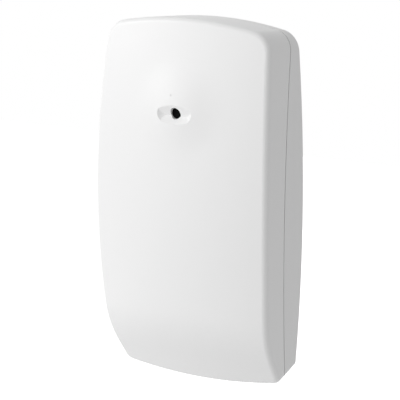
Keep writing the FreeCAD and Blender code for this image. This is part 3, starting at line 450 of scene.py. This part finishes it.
class SENSOR_OT_port(bpy.types.Operator):
    """Finish the microphone, its boot and felt, and the light pipe and its lamp"""
    bl_idname = "sensor.port"
    bl_label = "Microphone and indicator"

    def execute(self, context):
        dress(finish("felt_black", (0.004, 0.004, 0.004), 0.95, spread=0.5, scale=4000.0,
                     grain=0.1 * MM, bump=0.08 * MM, ior=1.15), "microphone_felt")
        dress(finish("boot_rubber", (0.025, 0.025, 0.026), 0.7, spread=0.2, bump=0.02 * MM),
              "microphone_boot")
        dress(finish("capsule_can", (0.6, 0.6, 0.61), 0.36, metallic=1.0), "microphone_capsule")
        dress(finish("clear_pipe", (0.8, 0.8, 0.8), 0.3, spread=0.02, ior=1.49), "light_pipe")
        dress(finish("led_lens", (0.85, 0.78, 0.5), 0.25, spread=0.05), "status_led")
        return {"FINISHED"}


class SENSOR_OT_board(bpy.types.Operator):
    """Finish the circuit board and everything that stands on it"""
    bl_idname = "sensor.board"
    bl_label = "Circuit board"

    def execute(self, context):
        board = context.scene.sensor_board
        mask = finish("board_green", board.mask_colour, 0.3, spread=0.2, scale=200.0, coat=0.3)
        dress(with_tracks(mask, board.track_colour), "circuit_board")
        dress(finish("screw_steel", (0.5, 0.5, 0.51), 0.4, metallic=1.0),
              "board_screws", "terminal_screws")
        dress(finish("tinned_pin", (0.56, 0.56, 0.55), 0.36, metallic=1.0),
              "microphone_pins", "terminal_pins", "relay_pins", "tamper_switch_pins",
              "processor_leads", "amplifier_leads", "regulator_leads", "diode_terminals")
        dress(finish("terminal_plastic", (0.03, 0.22, 0.08), 0.45), "terminal_block")
        dress(finish("clamp_metal", (0.5, 0.5, 0.48), 0.42, metallic=1.0), "terminal_clamps")
        dress(finish("relay_case", (0.82, 0.79, 0.7), 0.4), "alarm_relay")
        dress(finish("switch_case", (0.03, 0.03, 0.03), 0.45), "tamper_switch")
        dress(finish("plunger_plastic", (0.7, 0.68, 0.62), 0.4), "tamper_plunger")
        dress(finish("chip_epoxy", (0.02, 0.02, 0.022), 0.55, spread=0.3, scale=1500.0),
              "processor_chip", "amplifier_chip", "voltage_regulator", "input_diode")
        dress(finish("can_aluminium", (0.6, 0.6, 0.61), 0.38, metallic=1.0), "filter_capacitors")
        dress(finish("base_black", (0.02, 0.02, 0.02), 0.5), "capacitor_bases", "jumper_header")
        dress(finish("crystal_metal", (0.52, 0.52, 0.52), 0.34, metallic=1.0), "crystal_can")
        dress(finish("gold_pin", (0.83, 0.62, 0.25), 0.25, metallic=1.0), "jumper_pins")
        dress(finish("cap_plastic", (0.03, 0.03, 0.035), 0.45), "jumper_caps")
        dress(finish("resistor_film", (0.05, 0.05, 0.055), 0.35), "chip_resistors")
        dress(finish("capacitor_ceramic", (0.5, 0.37, 0.22), 0.4), "chip_capacitors")
        return {"FINISHED"}


class SENSOR_OT_solder(bpy.types.Operator):
    """Add the solder joints behind the board and the metal ends of the chip parts"""
    bl_idname = "sensor.solder"
    bl_label = "Solder and end caps"

    def execute(self, context):
        board = context.scene.sensor_board
        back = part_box("circuit_board")[1].y
        solder = finish("solder_bright", (0.56, 0.56, 0.55), 0.34, metallic=1.0)
        places, radii = [], []
        for name in ("terminal_pins", "relay_pins", "tamper_switch_pins", "jumper_pins",
                     "microphone_pins"):
            for low, high in islands(name):
                middle = (low + high) / 2
                places.append((middle.x, back + board.joint_height / 2, middle.z))
                radii.append((high.x - low.x) / 2)
        joints = grow("solder_joints", places, joint_maker(), ("pin_radius", radii),
                      Margin=board.joint_margin, Height=board.joint_height, Material=solder)
        caps = cap_maker()
        metal = finish("cap_metal", (0.54, 0.54, 0.53), 0.38, metallic=1.0)
        for name in ("chip_resistors", "chip_capacitors"):
            boxes = islands(name)
            low, high = boxes[0]
            values = {"Size": tuple(high - low), "Cap Length": board.cap_length,
                      "Thickness": board.cap_thickness, "Material": metal}
            ends = grow(f"{name}_ends", [(low + high) / 2 for low, high in boxes], caps, **values)
        return {"FINISHED"}


# Stage

LAMP_DISTANCE = 1.6
FLOOR_DROP = 0.6              # from the sensor's lowest point to the floor
FLOOR_REACH = 3.0             # from the floor's middle to its edge
FOCAL_LENGTH = 230.4          # in mm, for the film width below
FILM_WIDTH = 36.0             # in mm
PHOTO_SIDE = 400              # in pixels
PHOTO_SHIFT = (-16.9, -3.06)  # camera shift that frames the view as in the photograph, in pixels


def aim(item, azimuth, elevation, distance):
    """Puts a lamp or the camera around the wall point, angles in radians, and turns it there."""
    outward = Vector((math.sin(azimuth) * math.cos(elevation),
                      -math.cos(azimuth) * math.cos(elevation), math.sin(elevation)))
    item.location = outward * distance
    item.rotation_mode = "QUATERNION"
    item.rotation_quaternion = (-outward).to_track_quat("-Z", "Y")


def lamp(name, azimuth, elevation, side, power):
    """A soft square lamp, its angles in degrees."""
    data = bpy.data.lights.new(name, "AREA")
    data.shape = "SQUARE"
    data.size = side
    data.energy = power
    item = bpy.data.objects.new(name, data)
    bpy.context.scene.collection.objects.link(item)
    aim(item, math.radians(azimuth), math.radians(elevation), LAMP_DISTANCE)


def seen_directly(tree):
    """1 for rays from the camera, also by way of a mirror or glass, and 0 for the rest."""
    path = tree.nodes.new("ShaderNodeLightPath").outputs
    mirrored = calculate(tree, "MAXIMUM", path["Is Camera Ray"], path["Is Glossy Ray"])
    return calculate(tree, "MAXIMUM", mirrored, path["Is Transmission Ray"])


def make_world(scene, strength):
    """White where the camera sees it, and a plain even light elsewhere."""
    world = bpy.data.worlds.new("room")
    world.use_nodes = True
    tree = world.node_tree
    background = tree.nodes["Background"]
    background.inputs["Color"].default_value = (1, 1, 1, 1)
    level = add(tree, "ShaderNodeMapRange", Value=seen_directly(tree), To_Min=strength, To_Max=1.0)
    tree.links.new(level.outputs["Result"], background.inputs["Strength"])
    scene.world = world


def make_floor(low):
    """A plain pale floor at a height, white in the camera's view."""
    reach = FLOOR_REACH
    mesh = bpy.data.meshes.new("floor")
    mesh.from_pydata([(-reach, -reach, low), (reach, -reach, low), (reach, reach, low),
                      (-reach, reach, low)], [], [(0, 1, 2, 3)])
    floor = bpy.data.objects.new("floor", mesh)
    bpy.context.scene.collection.objects.link(floor)
    material = bpy.data.materials.new("floor_white")
    material.use_nodes = True
    tree = material.node_tree
    shader = tree.nodes["Principled BSDF"]
    shader.inputs["Base Color"].default_value = (0.8, 0.8, 0.8, 1)
    shader.inputs["Roughness"].default_value = 0.9
    shader.inputs["Emission Color"].default_value = (1, 1, 1, 1)
    tree.links.new(seen_directly(tree), shader.inputs["Emission Strength"])
    mesh.materials.append(material)


def make_camera(scene, stage):
    """The camera at the photograph's angle."""
    data = bpy.data.cameras.new("camera")
    data.sensor_width = FILM_WIDTH
    data.lens = FOCAL_LENGTH
    data.shift_x, data.shift_y = (shift / PHOTO_SIDE for shift in PHOTO_SHIFT)
    data.clip_start = 0.01
    camera = bpy.data.objects.new("camera", data)
    scene.collection.objects.link(camera)
    aim(camera, stage.azimuth, stage.elevation, stage.distance)
    scene.camera = camera


class SENSOR_OT_stage(bpy.types.Operator):
    """Set up the floor, the white room, the lamps and the camera"""
    bl_idname = "sensor.stage"
    bl_label = "Stage"

    def execute(self, context):
        scene = context.scene
        stage = scene.sensor_stage
        make_world(scene, stage.room_light)
        make_floor(CAD_BOX[0].z - FLOOR_DROP)
        lamp("front_lamp", -30, 20, 1.4, stage.front_power)
        lamp("side_lamp", -58, 21, 0.5, stage.side_power)
        make_camera(scene, stage)
        scene.view_settings.view_transform = "Standard"
        return {"FINISHED"}


class SENSOR_PT_panel(bpy.types.Panel):
    """Lists the sensor's pieces and its stage"""
    bl_idname = "SENSOR_PT_panel"
    bl_label = "Glass break sensor"
    bl_space_type = "VIEW_3D"
    bl_region_type = "UI"
    bl_category = "Sensor"

    def draw(self, context):
        scene = context.scene
        for settings in (scene.sensor_plastic, scene.sensor_board, scene.sensor_stage):
            box = self.layout.box()
            for name in settings.bl_rna.properties.keys():
                if name not in ("rna_type", "name"):
                    box.prop(settings, name)
        for operator in OPERATORS:
            self.layout.operator(operator.bl_idname)


SETTINGS = (SensorPlastic, SensorBoard, SensorStage)
OPERATORS = (SENSOR_OT_housing, SENSOR_OT_port, SENSOR_OT_board, SENSOR_OT_solder,
             SENSOR_OT_stage)


def register():
    """Registers the add-on's classes and its settings."""
    for item in (*SETTINGS, *OPERATORS, SENSOR_PT_panel):
        bpy.utils.register_class(item)
    bpy.types.Scene.sensor_plastic = PointerProperty(type=SensorPlastic)
    bpy.types.Scene.sensor_board = PointerProperty(type=SensorBoard)
    bpy.types.Scene.sensor_stage = PointerProperty(type=SensorStage)


def unregister():
    """Takes the add-on's settings and classes away again."""
    del bpy.types.Scene.sensor_stage
    del bpy.types.Scene.sensor_board
    del bpy.types.Scene.sensor_plastic
    for item in reversed((*SETTINGS, *OPERATORS, SENSOR_PT_panel)):
        bpy.utils.unregister_class(item)


def main():
    """Registers the add-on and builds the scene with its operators."""
    register()
    bpy.ops.sensor.housing()
    bpy.ops.sensor.port()
    bpy.ops.sensor.board()
    bpy.ops.sensor.solder()
    bpy.ops.sensor.stage()


if __name__ == "__main__":
    main()
